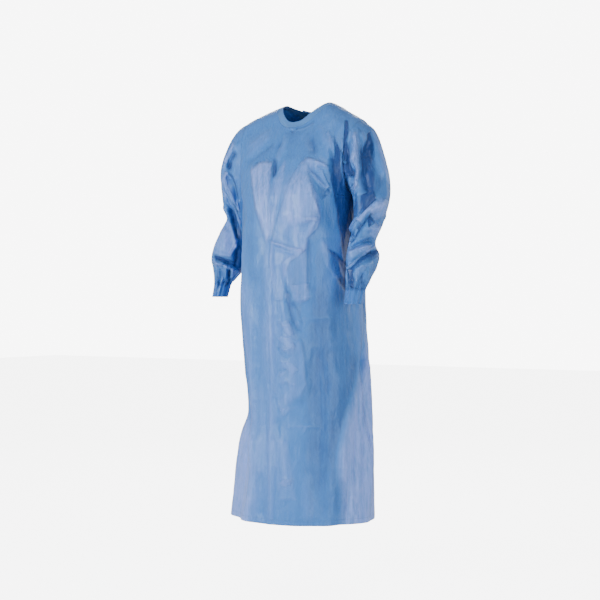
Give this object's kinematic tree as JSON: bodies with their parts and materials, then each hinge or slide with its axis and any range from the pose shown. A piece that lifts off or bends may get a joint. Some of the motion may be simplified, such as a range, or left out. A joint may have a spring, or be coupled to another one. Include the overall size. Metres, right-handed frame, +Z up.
{
  "type": "isolation gown",
  "caption": "Full-length long-sleeved isolation gown in coated blue nonwoven, with bound neck, gathered elastic cuffs and a lapped back opening with ties, in its worn hollow form.",
  "frame": {"origin": "middle of the neck opening at the height of the neck points, where the garment hangs from the wearer's shoulders", "axes": "+Z up, the front of the gown faces -Y, the wearer's left is +X"},
  "size_m": [0.5959, 0.366, 1.2462],
  "materials": {
    "gown_cloth": "semi-gloss film-coated nonwoven, crinkled",
    "cuff_cloth": "gathered coated nonwoven over elastic",
    "binding_cloth": "pale matt nonwoven binding",
    "closing_tab": "hook-and-loop tape",
    "tie_cloth": "soft matt nonwoven tape"
  },
  "bodies": {
    "root": {"front_panel": "gown_cloth", "back_left": "gown_cloth", "back_right": "gown_cloth", "sleeve_left": "gown_cloth", "sleeve_right": "gown_cloth", "cuff_left": "cuff_cloth", "cuff_right": "cuff_cloth", "neck_binding": "binding_cloth", "neck_tab": "closing_tab", "tie_left": "tie_cloth", "tie_right": "tie_cloth"}
  },
  "joints": []
}
